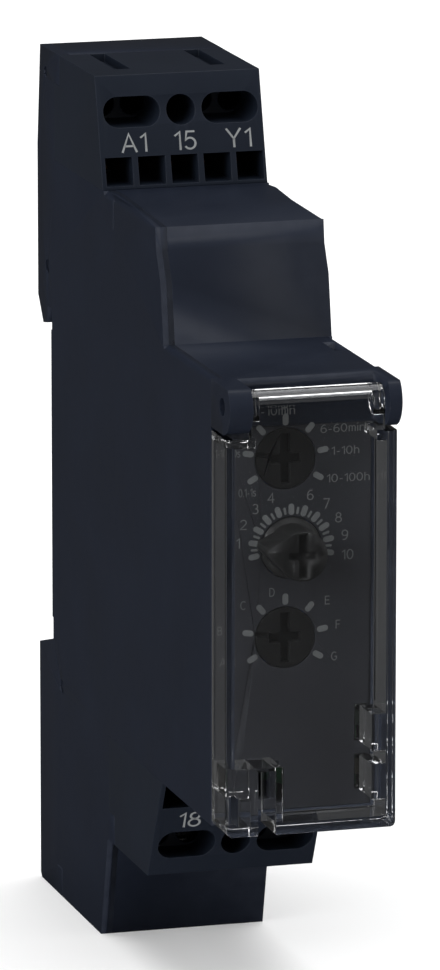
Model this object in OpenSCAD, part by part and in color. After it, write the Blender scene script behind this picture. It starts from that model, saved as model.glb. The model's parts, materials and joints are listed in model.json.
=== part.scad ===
// DIN rail time relay, one module wide, with a clear hinged lid over three dials.
// Frame: origin at the centre of the rail seat face, +X right, +Y towards the rail, +Z up.

/* [Case] */
// Width of the case along the rail
case_w = 17.5; // [17.5:0.5:22]
// Thickness of the two side walls
side_wall = 1.2; // [1:0.1:1.3]
// Height of the case above the rail centre, and below it
case_half_h = 45; // [45:0.5:46]
// Depth of the rail recess behind the seat face
recess_d = 5.2; // [5:0.1:6]
// Half of the free height between the rail hook and the clip
recess_half_h = 17.7; // [17.6:0.1:17.9]

/* [Front] */
// Radius of the flush selector dials and of the fine dial
dial_r = 3.04; // [2.6:0.02:3.1]
// Distance between neighbouring dial centres
dial_pitch = 9; // [8.6:0.1:9.2]
// Height of the fine dial's axis above the rail centre
dial_mid_z = 4.65; // [4:0.05:5]
// How far the fine dial stands out of the panel
fine_dial_h = 4.15; // [3.5:0.05:4.2]

/* [Lid] */
// Thickness of the clear lid
lid_wall = 1; // [0.8:0.1:1.2]
// Gap between the lid and the pieces that it moves past
lid_gap = 0.2; // [0.2:0.05:0.3]
// Radius of the lid's round knuckle
knuckle_r = 1.55; // [1.5:0.05:1.6]

/* [Terminals] */
// Distance between neighbouring wire entries
wire_pitch = 3.47; // [3.4:0.01:3.47]
// Width and height of a square wire entry
wire_hole = 2.8; // [2.6:0.1:2.8]
// Radius of a single release hole
release_r = 1.52; // [1.4:0.02:1.56]

/* [Rail clip] */
// Half width of the clip's plate
clip_half_w = 4.1; // [3.8:0.1:4.4]
// Coils in the clip's return spring
spring_turns = 6; // [4:1:7]

/* [Hidden] */
$fn = 48;
eps = 0.01;
half = case_w / 2;
inner = half - side_wall;
top_z = case_half_h;
foot_z = -case_half_h;

// Depth and height levels of the outline, as y and z
seat_y = 0;
back_y = recess_d;
nose_top_z = 22;
nose_foot_z = -23;
panel_y = -60.1;
panel_t = 1.2;
panel_top_z = 16.95;
shoulder_z = 33.7;
skin = 1.2;
under_lip = 0.35;
lip_z = 15.4;

// Lid pivot as [y, z] and the ears around it
pivot = [-64.05, 19.96];
ear_r = 2.75;
ear_left_x = -half + 2.35;
ear_right_x = half - 1.25;
pin_r = 0.85;
pin_play = 0.06;
lid_front_y = -65.6;
lid_top_z = pivot[1] - ear_r - 0.3;
knuckle_cheek = 1;
knuckle_bore = 0.65;
knuckle_cap_z = pivot[1] + 0.3;

// Dials
dial_x = -1.25;
fine_x = -0.65;
range_z = dial_mid_z + dial_pitch;
function_z = dial_mid_z - dial_pitch;
dial_play = 0.06;
shaft_r = 1.2;
shaft_play = 0.05;
switch_half = 3.5;
switch_y = [-58.7, -55.6];
board_t = 1;
board_hole_x = 4.4;
board_hole_z = [-19.5, 14.5];
board_hole_r = 0.8;
pointer_a = 170;

// Status lights: x range and z ranges of the lid's light blocks and the windows behind them
light_x = [6.3, half - 0.9];
window_x = [5.9, 7.3];
light_z = [[-15.3, -11.6], [-20.2, -16.65]];

// Sealing notch in the lid and the dark slot behind it in the panel
notch_x = [-5.5, -3.7];
notch_top_z = -16.5;
boss_x1 = -2.8;

// Corner of the front board cut away behind that slot, as its right and upper edge
board_corner = [-0.3, -16.4];

// Terminal cells, in a block's own frame: y as in the upper block, h away from the wire side
cell_x0 = 0.1;
cell_w = 2.87;
cell_top = 10;
release_h = 7.62;
long_slot_y = -12.9;
wire_h = 0.35;
leg_pivot = [-10.5, 9.25];
leg_vec = [4, -7.95];
leg_t = 0.35;
leg_w = 2.3;
lower_shift = -20.4;
bar_t = 0.5;
tail_w = 1.5;

// Circuit board and relay
main_x = [-6.6, -5.4];
relay_y = [-45, -23];
relay_z = [-17, -5];
relay_top_x = 6.2;
coil_x = -0.6;
coil_z = (relay_z[0] + relay_z[1]) / 2;
contact_x = -3.7;
armature_edge = [4.4, -40.25];

// Rail clip
clip_y = [1.3, 2.9];
clip_rib_y = 4.9;
clip_rib_half = 2.9;
clip_gap = 0.2;
spring_z = [-37.3, -27];
spring_r = 1.2;
spring_wire = 0.22;

// Side pins that hold the side cover, as [y, z, radius]
side_pins = [[1.78, 42.4, 0.6], [1.26, 21.94, 0.8], [-3.68, -22.16, 0.8]];

// Outline of the case, with the two terminal blocks left out
case_pts = [
  [3.95, top_z], [back_y, 34.3], [back_y, 18.3],
  [3.1, 15.6], [1.4, 15.9], [1.4, recess_half_h], [-under_lip, recess_half_h],
  [-under_lip, lip_z], [seat_y, lip_z], [seat_y, -lip_z], [-under_lip, -lip_z],
  [-under_lip, -recess_half_h], [back_y, -recess_half_h - 1.5],
  [back_y, foot_z + 0.5], [back_y - 0.5, foot_z],
  [-19, foot_z], [-21.7, -34.1], [-24.3, -34.1], [-24.3, -31.1], [-22.2, -31.1],
  [-22.2, nose_foot_z], [panel_y, nose_foot_z],
  [panel_y, nose_top_z], [-43.1, nose_top_z], [-42, 28.2], [-40.5, 31.05], [-40.2, 33.4],
  [-24.4, 33.9], [-20.54, shoulder_z], [-1.6, shoulder_z], [-1.6, 41.8], [-3.7, 41.8],
  [-3.7, top_z]
];

// Hollow of the case, closed on the left by the side cover
cavity_pts = [
  [-0.4, 43.6], [2.8, 43.6], [4, 34.2], [4, 19.4], [-1.4, 19.4], [-1.4, foot_z + skin],
  [-17.9, foot_z + skin], [-20.5, -33], [-21, -31], [-21, -21.8], [-23.4, -21.8],
  [-23.4, nose_foot_z - 1], [-41, nose_foot_z - 1], [-41, -21.8], [panel_y - 1, -21.8],
  [panel_y - 1, panel_top_z], [panel_y + panel_t, panel_top_z], [panel_y + panel_t, nose_top_z - skin],
  [-41.9, nose_top_z - skin], [-40.8, 28.6], [-39.3, 31.3], [-39.1, 32.2],
  [-21.6, 32.6], [-19.4, 32.9], [-19.4, shoulder_z + 1], [-2.8, shoulder_z + 1],
  [-2.8, 32.5], [-0.4, 32.5]
];

upper_block_pts = [
  [-1.6, shoulder_z], [-1.6, 41.8], [-3.7, 41.8], [-3.7, top_z], [-17.44, top_z],
  [-20.54, shoulder_z]
];
lower_block_pts = [
  [-22.2, nose_foot_z], [-22.2, -31.1], [-24.3, -31.1], [-24.3, -34.1], [-36.9, -34.1],
  [-42.4, nose_foot_z]
];

// A slab between two x planes, with a [y, z] outline
module slab(x0, x1, pts) {
  translate([x0, 0, 0]) rotate([90, 0, 90]) linear_extrude(x1 - x0) polygon(pts);
}

// A box from its lowest to its highest corner
module box(a, b) {
  translate(a) cube(b - a);
}

// A round bar along X, from x0 to x1, at [y, z]
module bar_x(x0, x1, p, r) {
  translate([x0, p[0], p[1]]) rotate([0, 90, 0]) cylinder(h = x1 - x0, r = r);
}

// A round bar along Y, from y0 to y1, at [x, z]
module bar_y(y0, y1, p, r) {
  translate([p[0], y0, p[1]]) rotate([-90, 0, 0]) cylinder(h = y1 - y0, r = r);
}

// A 45 degree bevel cutter along Y on the edge at x, z
module edge_cut(x, z, y0, y1, size) {
  translate([x, y0, z]) rotate([0, 45, 0])
    translate([-size / 2, 0, -size / 2]) cube([size, y1 - y0, size]);
}

// One lid ear between two x planes
module ear(x0, x1) {
  difference() {
    intersection() {
      union() {
        bar_x(x0, x1, pivot, ear_r);
        box([x0, pivot[0], pivot[1] - ear_r], [x1, panel_y + panel_t, nose_top_z]);
        box([x0, pivot[0] - 1.7, pivot[1]], [x1, pivot[0] + eps, nose_top_z]);
      }
      box([x0, -70, 10], [x1, -50, nose_top_z]);
    }
    bar_x(x0 - 1, x1 + 1, pivot, pin_r + pin_play);
    box([-half - 1, panel_y, 10], [-inner, -50, nose_top_z + 1]);
  }
}

// Groove for the rail clip, open to the back and at the foot
module clip_channel() {
  wide = clip_half_w + clip_gap;
  slim = clip_rib_half + clip_gap;
  box([-wide, clip_y[0] - clip_gap, foot_z - 1], [wide, clip_y[1] + clip_gap, -17]);
  box([-slim, clip_y[1], foot_z - 1], [slim, back_y + 1, -17]);
}

// The deep half of the case, with the ears, hook and clip channel
module case_base() {
  color("#1d222e") {
    difference() {
      union() {
        difference() {
          slab(-inner, half, case_pts);
          slab(-inner - 1, inner, cavity_pts);
        }
        for (p = side_pins) bar_x(-inner - eps, inner + eps, p, p[2] + 0.7);
        for (p = side_pins) bar_x(-half + 0.15, inner, p, p[2]);
      }
      clip_channel();
      edge_cut(half, shoulder_z, -40.2, -21, 0.7);
      edge_cut(half, nose_top_z, -60, -43.3, 0.6);
      box([half - 1.85, -50.2, nose_top_z - 0.8], [half - 0.55, -45.95, nose_top_z + 1]);
      box([half - 0.2, -24.6, 30.4], [half + 1, -24.4, 34]);
    }
    box([-1.8, clip_y[0] - clip_gap - eps, spring_z[0] - 1.2], [1.8, 3.9, spring_z[0]]);
    box([ear_left_x, panel_y - 0.9, nose_top_z - skin], [ear_right_x, panel_y + 0.5, nose_top_z]);
    ear(-half, ear_left_x);
    ear(ear_right_x, half);
  }
}

// The left wall, held by three pins
module side_cover() {
  color("#1f2532") difference() {
    slab(-half, -inner, case_pts);
    for (p = side_pins) bar_x(-half - 1, -inner + 1, p, p[2]);
    edge_cut(-half, shoulder_z, -40.2, -21, 0.7);
    edge_cut(-half, nose_top_z, -60, -43.3, 0.6);
    box([-half - 1, -24.6, 30.4], [-half + 0.2, -24.4, 34]);
    box([-half - 1, -3.6, foot_z - 1], [-half + 0.2, -3.4, -41.9]);
    box([-half - 1, -3.6, -42.1], [-half + 0.2, -1.7, -41.9]);
  }
}

// x of a wire entry, 0 to 4
function cell_x(i) = cell_x0 + (i - 2) * wire_pitch;

// Hollows of one block, in its own frame
module cell_cuts() {
  hw = cell_w / 2;
  for (i = [0:4]) translate([cell_x(i), 0, 0]) {
    slab(-hw, hw, [[-11.8, bar_t], [-11.8, cell_top], [-4.7, cell_top], [-4.7, 7.2],
      [-2.7, 7.2], [-2.7, bar_t]]);
    box([-wire_hole / 2, -24, wire_h], [wire_hole / 2, -11.7, wire_h + wire_hole]);
  }
  for (i = [0, 3]) box([cell_x(i), -3.4, bar_t], [cell_x(i + 1), -2.7, 3]);
  bar_y(-24, -11.7, [cell_x(2), release_h], release_r);
  for (s = [-1, 1]) translate([cell_x(2) + s * 1.5 * wire_pitch, 0, 0]) {
    for (k = [-1, 1]) {
      bar_y(-24, -11.7, [k * 1.65, release_h], release_r - 0.2);
      bar_y(-24, long_slot_y, [k * 1.46, release_h], release_r);
    }
    box([-1.46, -24, release_h - release_r], [1.46, long_slot_y, release_h + release_r]);
  }
}

// Slots in a block's wire side for the bars' tails
module tail_cuts() {
  for (k = [0:2]) {
    box([tail_x(k) - tail_w / 2 - 0.1, tail_y(k) - bar_t - 0.1, -1],
      [tail_x(k) + tail_w / 2 + 0.1, tail_y(k) + 0.1, bar_t + 1]);
  }
}

// Puts its children in the upper block, or mirrored in the lower block
module in_upper() {
  translate([0, 0, shoulder_z]) children();
}
module in_lower() {
  translate([0, lower_shift, nose_foot_z]) mirror([0, 0, 1]) children();
}

module upper_terminal_block() {
  color("#1b202b") difference() {
    slab(-half, half, upper_block_pts);
    in_upper() cell_cuts();
    in_upper() tail_cuts();
    for (x = [-4.75, 5.35]) box([x - 0.83, -13.8, top_z - 0.9], [x + 0.83, -3.9, top_z + 1]);
  }
}

module lower_terminal_block() {
  color("#1b202b") difference() {
    slab(-half, half, lower_block_pts);
    in_lower() cell_cuts();
    in_lower() tail_cuts();
  }
}

// Front panel with the dial holes, the windows' holes and the sealing slot
module front_panel() {
  color("#1c1e22") {
    difference() {
      box([-inner, panel_y, -21.8], [inner, panel_y + panel_t, panel_top_z]);
      for (p = [[dial_x, range_z], [fine_x, dial_mid_z], [dial_x, function_z]])
        bar_y(panel_y - 1, panel_y + panel_t + 1, p, dial_r + dial_play);
      for (t = light_z)
        box([window_x[0], panel_y - 1, t[0]], [window_x[1], panel_y + panel_t + 1, t[1]]);
      box([notch_x[0], panel_y - 1, -20.7], [-1.9, panel_y + panel_t + 1, -16.8]);
    }
  }
}

// Rounded outline that the lid's tray is trimmed to: w wide, from v0 to v1, with round far corners
module round_end(w, v0, v1, r) {
  translate([-w / 2, v0 + r]) square([w, v1 - v0 - r]);
  translate([-w / 2 + r, v0]) square([w - 2 * r, r + eps]);
  for (s = [-1, 1]) translate([s * (w / 2 - r), v0 + r]) circle(r = r);
}

// Clear tray with its light blocks and the boss around the sealing notch
module lid_tray(z0, back) {
  r = 0.7;
  in_y = lid_front_y + lid_wall;
  intersection() {
    difference() {
      box([-half, lid_front_y, z0], [half, back, lid_top_z]);
      difference() {
        box([-half + lid_wall, in_y, z0 + lid_wall], [half - lid_wall, back + 1, lid_top_z - lid_wall]);
        box([-half, in_y - eps, z0], [boss_x1, back, -16.3]);
        for (t = light_z) box([light_x[0], in_y - eps, t[0]], [half, back - 0.1, t[1]]);
      }
      box([ear_left_x + 0.75, in_y, 0], [ear_right_x - 0.75, back + 1, lid_top_z + 1]);
      box([-half + 1.4, in_y, z0 + 0.8], [notch_x[0] - 0.6, back + 1, -19.2]);
    }
    translate([0, 0, z0 - 1]) linear_extrude(60) round_end(case_w, lid_front_y, back, r);
    translate([0, back + 1, 0]) rotate([90, 0, 0]) linear_extrude(20) round_end(case_w, z0, lid_top_z, r);
  }
}

// Clear lid: the tray, a round knuckle that is hollow between its cheeks, and two stub pins
module lid() {
  kx0 = ear_left_x + 0.15;
  kx1 = ear_right_x - 0.15;
  color([0.75, 0.78, 0.8, 0.35]) difference() {
    union() {
      lid_tray(nose_foot_z + 0.05, panel_y - lid_gap);
      box([kx0, lid_front_y, lid_top_z - 1], [kx1, lid_front_y + lid_wall, pivot[1]]);
      bar_x(kx0, kx1, pivot, knuckle_r);
      bar_x(-half + 1, half - 0.3, pivot, pin_r);
    }
    box([notch_x[0], lid_front_y - 1, nose_foot_z - 1], [notch_x[1], panel_y, notch_top_z]);
    bar_x(kx0 + knuckle_cheek, kx1 - knuckle_cheek, pivot, knuckle_bore);
    box([kx0 + knuckle_cheek, lid_front_y + lid_wall, lid_top_z],
      [kx1 - knuckle_cheek, panel_y, knuckle_cap_z]);
  }
}

// Cross slot and pointer groove on a dial's face, cut from y towards +Y
module dial_slots(y, depth) {
  box([-0.45, y - 1, -2.5], [0.45, y + depth, 2.5]);
  box([-1.6, y - 1, -0.45], [1.6, y + depth, 0.45]);
  translate([0, y - 1, 0]) rotate([0, 45, 0]) box([-0.75, 0, -0.75], [0.75, 1 + depth, 0.75]);
  rotate([0, -pointer_a, 0]) box([1.7, y - 1, -0.25], [dial_r + 1, y + depth / 2, 0.25]);
}

// A dial flush with the panel, on its shaft
module flush_dial(z) {
  color("#17181a") translate([dial_x, 0, z]) {
    difference() {
      bar_y(panel_y, panel_y + panel_t, [0, 0], dial_r);
      dial_slots(panel_y, 0.8);
    }
    bar_y(panel_y + panel_t - eps, switch_y[1] - 0.6, [0, 0], shaft_r);
  }
}

module range_dial() {
  flush_dial(range_z);
}

module function_dial() {
  flush_dial(function_z);
}

// The raised dial: a round knob with an arrow nose
module fine_dial() {
  tip_y = panel_y - fine_dial_h;
  color("#141517") translate([fine_x, 0, dial_mid_z]) {
    difference() {
      union() {
        bar_y(tip_y, panel_y + panel_t, [0, 0], dial_r - 0.55);
        bar_y(panel_y, panel_y + panel_t, [0, 0], dial_r);
        rotate([0, -pointer_a, 0]) translate([0, panel_y - 0.3, 0]) rotate([90, 0, 0])
          linear_extrude(fine_dial_h - 0.3)
            polygon([[0, -2.4], [1.2, -2.1], [3.6, -0.35], [3.6, 0.35], [1.2, 2.1], [0, 2.4]]);
      }
      translate([0, tip_y, 0]) {
        box([-0.45, -1, -2.2], [0.45, 1.2, 2.2]);
        box([-1.5, -1, -0.45], [1.5, 1.2, 0.45]);
      }
    }
    bar_y(panel_y + panel_t - eps, switch_y[1] - 0.6, [0, 0], shaft_r);
  }
}

// Body of a rotary switch or potentiometer behind a dial
module switch_body(x, z, corner) {
  r = shaft_r + shaft_play;
  difference() {
    box([x - switch_half, switch_y[0], z - switch_half],
      [x + switch_half, switch_y[1], z + switch_half]);
    bar_y(switch_y[0] - 1, switch_y[1] - 0.5, [x, z], r);
    for (s = [-1, 1]) translate([x + s * switch_half, 0, z + switch_half])
      rotate([0, 45, 0]) box([-corner, switch_y[0] - 1, -corner], [corner, switch_y[1] + 1, corner]);
  }
}

module range_switch() {
  color("#2b4a7a") switch_body(dial_x, range_z, 0.6);
}
module fine_potentiometer() {
  color("#3a6ea5") switch_body(fine_x, dial_mid_z, 0.9);
}
module function_switch() {
  color("#2b4a7a") switch_body(dial_x, function_z, 0.6);
}

module front_board() {
  color("#1e5a35") difference() {
    box([-7.2, switch_y[1], -21], [7.2, switch_y[1] + board_t, 16]);
    for (z = board_hole_z) bar_y(switch_y[1] - 1, switch_y[1] + board_t + 1, [board_hole_x, z], board_hole_r);
    box([-half, switch_y[1] - 1, nose_foot_z], [board_corner[0], switch_y[1] + board_t + 1, board_corner[1]]);
  }
}

module main_board() {
  color("#1e5a35") difference() {
    slab(main_x[0], main_x[1], [[-2, 31.4], [-2, -42], [-17, -42], [-19.5, -33], [-19.5, -20.6],
      [-53.2, -20.6], [-53.2, 20], [-39.8, 20], [-38.2, 31.4]]);
    bar_x(-8, -4, side_pins[2], side_pins[2][2] + 1);
  }
}

// Right-angle link between the two boards
module board_link() {
  color("#202020") {
    box([main_x[1], -54, -3], [main_x[1] + 2.4, -51, 11]);
    for (k = [0:5]) box([main_x[1] + 1, -54.6, -1.6 + k * 2.3], [main_x[1] + 1.5, -53.9, -1.1 + k * 2.3]);
  }
}

module status_led(k, shade) {
  z = (light_z[k][0] + light_z[k][1]) / 2;
  color(shade) box([window_x[0] + 0.2, switch_y[1] - 1.6, z - 0.8], [window_x[1] - 0.2, switch_y[1], z + 0.8]);
}
module supply_led() {
  status_led(0, "#49c25a");
}
module relay_led() {
  status_led(1, "#e8a33a");
}

// A clear bar from the diode to the panel's face
module light_guide(k) {
  t = light_z[k];
  color([0.9, 0.92, 0.92, 0.5])
    box([window_x[0], panel_y, t[0]], [window_x[1], switch_y[1] - 1.8, t[1]]);
}
module supply_light_guide() {
  light_guide(0);
}
module relay_light_guide() {
  light_guide(1);
}

// Spring-loaded foot that grips the rail from below
module rail_clip() {
  color("#23262c") difference() {
    union() {
      box([-clip_half_w, clip_y[0], foot_z + 0.2], [clip_half_w, clip_y[1], -18.3]);
      box([-clip_rib_half, clip_y[1] - eps, foot_z + 0.2], [clip_rib_half, clip_rib_y, -19.5]);
      slab(-clip_half_w, clip_half_w, [[clip_y[0], -19], [clip_y[0], -16.3], [1.9, -15.9],
        [clip_y[1], -17.6], [clip_y[1], -19]]);
    }
    box([-2, clip_y[0] - 1, spring_z[0] - 2.8], [2, clip_rib_y + 1, spring_z[1]]);
    box([-1.6, clip_y[0] - 1, foot_z + 1.6], [1.6, clip_rib_y + 1, foot_z + 3]);
  }
}

// Points of a wire along a helix about Z, as rings of six
function helix_ring(t, sides, r, wire, z0, z1, turns) =
  let (a = 360 * turns * t, z = z0 + (z1 - z0) * t)
  [for (k = [0:sides - 1]) let (b = 360 * k / sides)
    [(r + wire * cos(b)) * cos(a), (r + wire * cos(b)) * sin(a), z + wire * sin(b)]];

module helix(r, wire, z0, z1, turns) {
  sides = 6;
  steps = turns * 14;
  pts = [for (i = [0:steps]) each helix_ring(i / steps, sides, r, wire, z0, z1, turns)];
  caps = [[for (k = [0:sides - 1]) k], [for (k = [0:sides - 1]) steps * sides + sides - 1 - k]];
  walls = [for (i = [0:steps - 1], k = [0:sides - 1])
    let (n = (k + 1) % sides) [i * sides + k, (i + 1) * sides + k, (i + 1) * sides + n, i * sides + n]];
  polyhedron(pts, concat(caps, walls), convexity = 10);
}

module clip_spring() {
  color("#b9bcc0") translate([0, 2.85, 0])
    helix(spring_r, spring_wire, spring_z[0] + spring_wire, spring_z[1] - spring_wire, spring_turns);
}

// Relay pieces: coil along Y, armature at its front end
module relay_base() {
  color("#1a1a1a") box([main_x[1], relay_y[0], relay_z[0]], [main_x[1] + 1, relay_y[1], relay_z[1]]);
}
module relay_case() {
  t = 0.6;
  color("#26282b") difference() {
    box([main_x[1] + 1, relay_y[0], relay_z[0]], [relay_top_x, relay_y[1], relay_z[1]]);
    box([main_x[1], relay_y[0] + t, relay_z[0] + t], [relay_top_x - t, relay_y[1] - t, relay_z[1] - t]);
  }
}
module relay_bobbin() {
  color("#d8d4c4") difference() {
    union() {
      bar_y(-38.2, -28, [coil_x, coil_z], 2.1);
      for (y = [-38.2, -28.8]) box([coil_x - 3.6, y, coil_z - 4.4], [coil_x + 3.6, y + 0.8, coil_z + 4.4]);
      box([main_x[1] + 1, -28.8, coil_z - 3], [coil_x - 3.5, -28, coil_z + 3]);
    }
    bar_y(-39, -27, [coil_x, coil_z], 1.55);
  }
}
module relay_winding() {
  color("#a4552b") difference() {
    bar_y(-37.4, -28.8, [coil_x, coil_z], 3.4);
    bar_y(-38, -28, [coil_x, coil_z], 2.1);
  }
}
module relay_core() {
  color("#9a9da1") {
    bar_y(-38.6, -27.2, [coil_x, coil_z], 1.5);
    bar_y(-39.1, -38.5, [coil_x, coil_z], 2.2);
  }
}
module relay_yoke() {
  color("#9a9da1") {
    box([coil_x - 3, -27.2, coil_z - 3], [4.9, -26.2, coil_z + 3]);
    box([3.9, -39.6, coil_z - 3], [4.9, -26.3, coil_z + 3]);
  }
}
module relay_armature() {
  e = armature_edge;
  color("#9a9da1") {
    box([-2, e[1] - 0.35, coil_z - 2.9], [e[0], e[1] + 0.35, coil_z + 2.9]);
    translate([e[0], e[1], coil_z - 2.9]) cylinder(h = 5.8, r = 0.35);
  }
}
module relay_moving_contact() {
  color("#c98b4b") {
    box([contact_x - 0.5, -40.8, coil_z - 1], [2.2, -40.6, coil_z + 1]);
    bar_y(-41.1, -40.3, [contact_x, coil_z], 0.5);
  }
}
module fixed_contact(y0, y1, button0, button1) {
  box([main_x[1] + 1, y0, coil_z - 1.2], [contact_x + 0.5, y1, coil_z + 1.2]);
  bar_y(button0, button1, [contact_x, coil_z], 0.5);
}
module relay_open_contact() {
  color("#c98b4b") fixed_contact(-39.3, -39, -39.6, -39);
}
module relay_closed_contact() {
  color("#c98b4b") fixed_contact(-41.8, -41.5, -41.8, -41.25);
}

// Power supply and control parts on the main board
module film_capacitor() {
  color("#c9a227") box([main_x[1], -18, -41], [0.4, -6, -29]);
}
module reservoir_capacitor() {
  color("#2a2d52") difference() {
    bar_x(main_x[1], 6, [-11, -12], 4);
    bar_x(5.6, 7, [-11, -12], 3.2);
  }
}
module varistor() {
  color("#2f6db3") {
    bar_y(-13.6, -10.8, [-0.6, 3.4], 3.9);
    for (s = [-1, 1]) box([main_x[1], -12.5, 3.2 + s * 2], [-3.4, -12, 3.7 + s * 2]);
  }
}
module fuse_resistor() {
  color("#8fb3c9") {
    translate([-3.9, -20, 8]) cylinder(h = 8, r = 1.3);
    for (z = [7.2, 15.8]) box([main_x[1], -20.2, z], [-3.7, -19.8, z + 1]);
  }
}
module rectifier() {
  color("#1b1b1b") box([main_x[1], -30, 8], [-2.8, -24, 13]);
}
module controller_chip() {
  color("#1b1b1b") {
    box([main_x[1] + 0.1, -45, 4], [main_x[1] + 1.5, -37, 12]);
    for (k = [0:7]) box([main_x[1], -44.6 + k, 3.2], [main_x[1] + 0.5, -44.3 + k, 12.8]);
  }
}
module filter_choke() {
  color("#4a4c50") difference() {
    bar_x(main_x[1], 3, [-30, 24], 4.2);
    difference() {
      bar_x(main_x[1] + 1, 2, [-30, 24], 5);
      bar_x(main_x[1] + 1, 2, [-30, 24], 3.5);
    }
  }
}

// Current bars: one per terminal, with a tail to the main board
function tail_x(k) = cell_x(2 * k) - (k - 1) * 0.5;
function tail_y(k) = -4 - k * 2;

module current_bar(first, last, k) {
  hw = leg_w / 2;
  drop = 1.6 + k * 1.3;
  color("#b8733a") {
    for (i = [first:last]) {
      box([cell_x(i) - hw, -11.4, bar_t], [cell_x(i) + hw, -2.85, 2 * bar_t]);
      box([cell_x(i) - hw, -3.3, bar_t], [cell_x(i) + hw, -2.85, 5]);
    }
    box([cell_x(first) - hw, -3.3, bar_t], [cell_x(last) + hw, -2.85, 2.5]);
    box([tail_x(k) - tail_w / 2, tail_y(k) - bar_t, -drop], [tail_x(k) + tail_w / 2, tail_y(k), 2 * bar_t]);
    box([min(main_x[1], tail_x(k) - tail_w / 2), tail_y(k) - bar_t, -drop - 0.6],
      [max(main_x[1], tail_x(k) + tail_w / 2), tail_y(k), -drop + 0.6]);
  }
}
module bar_a1() {
  in_upper() current_bar(0, 1, 0);
}
module bar_15() {
  in_upper() current_bar(2, 2, 1);
}
module bar_y1() {
  in_upper() current_bar(3, 4, 2);
}
module bar_18() {
  in_lower() current_bar(0, 1, 0);
}
module bar_16() {
  in_lower() current_bar(2, 2, 1);
}
module bar_a2() {
  in_lower() current_bar(3, 4, 2);
}

// Fixed backs of the five clamp springs of a block
module spring_backs() {
  color("#c4c7cb") for (i = [0:4]) translate([cell_x(i), 0, 0]) {
    box([-leg_w / 2, leg_pivot[0] + 0.8, cell_top - 0.35], [leg_w / 2, -5.1, cell_top - 0.05]);
    box([-leg_w / 2, -5.4, 8.3], [leg_w / 2, -5.1, cell_top - 0.05]);
  }
}
module upper_spring_backs() {
  in_upper() spring_backs();
}
module lower_spring_backs() {
  in_lower() spring_backs();
}

// Free leg of a clamp spring, from its bend to the bar
module clamp_leg(i) {
  n = [-leg_vec[1], leg_vec[0]] / norm(leg_vec) * leg_t / 2;
  tip = leg_pivot + leg_vec;
  color("#c4c7cb") translate([cell_x(i), 0, 0]) {
    bar_x(-leg_w / 2, leg_w / 2, leg_pivot, 0.45);
    slab(-leg_w / 2, leg_w / 2, [leg_pivot - n, tip - n, tip + n, leg_pivot + n]);
  }
}
module leg_a1_left() {
  in_upper() clamp_leg(0);
}
module leg_a1_right() {
  in_upper() clamp_leg(1);
}
module leg_15() {
  in_upper() clamp_leg(2);
}
module leg_y1_left() {
  in_upper() clamp_leg(3);
}
module leg_y1_right() {
  in_upper() clamp_leg(4);
}
module leg_18_left() {
  in_lower() clamp_leg(0);
}
module leg_18_right() {
  in_lower() clamp_leg(1);
}
module leg_16() {
  in_lower() clamp_leg(2);
}
module leg_a2_left() {
  in_lower() clamp_leg(3);
}
module leg_a2_right() {
  in_lower() clamp_leg(4);
}

case_base();
side_cover();
upper_terminal_block();
lower_terminal_block();
front_panel();
lid();
range_dial();
fine_dial();
function_dial();
range_switch();
fine_potentiometer();
function_switch();
front_board();
main_board();
board_link();
supply_led();
relay_led();
supply_light_guide();
relay_light_guide();
rail_clip();
clip_spring();
relay_base();
relay_case();
relay_bobbin();
relay_winding();
relay_core();
relay_yoke();
relay_armature();
relay_moving_contact();
relay_open_contact();
relay_closed_contact();
film_capacitor();
reservoir_capacitor();
varistor();
fuse_resistor();
rectifier();
controller_chip();
filter_choke();
bar_a1();
bar_15();
bar_y1();
bar_18();
bar_16();
bar_a2();
upper_spring_backs();
lower_spring_backs();
leg_a1_left();
leg_a1_right();
leg_15();
leg_y1_left();
leg_y1_right();
leg_18_left();
leg_18_right();
leg_16();
leg_a2_left();
leg_a2_right();
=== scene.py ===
# %% [markdown]
# # A DIN rail time relay, one module wide
# The real device is a narrow dark plastic case that clips to a steel rail in a switch cabinet.
# A clear lid hangs over three small dials, and wires push into square holes at the top and the foot.
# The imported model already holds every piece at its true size, so this script only gives each piece its
# finish: rounded edges, moulded plastic, clear plastic, print, metal and the small parts behind the walls.
# It could also be modelled from nothing here, but then the two models would drift apart.

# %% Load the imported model
import json
import math

import bmesh
import bpy
from mathutils import Matrix, Vector


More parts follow.
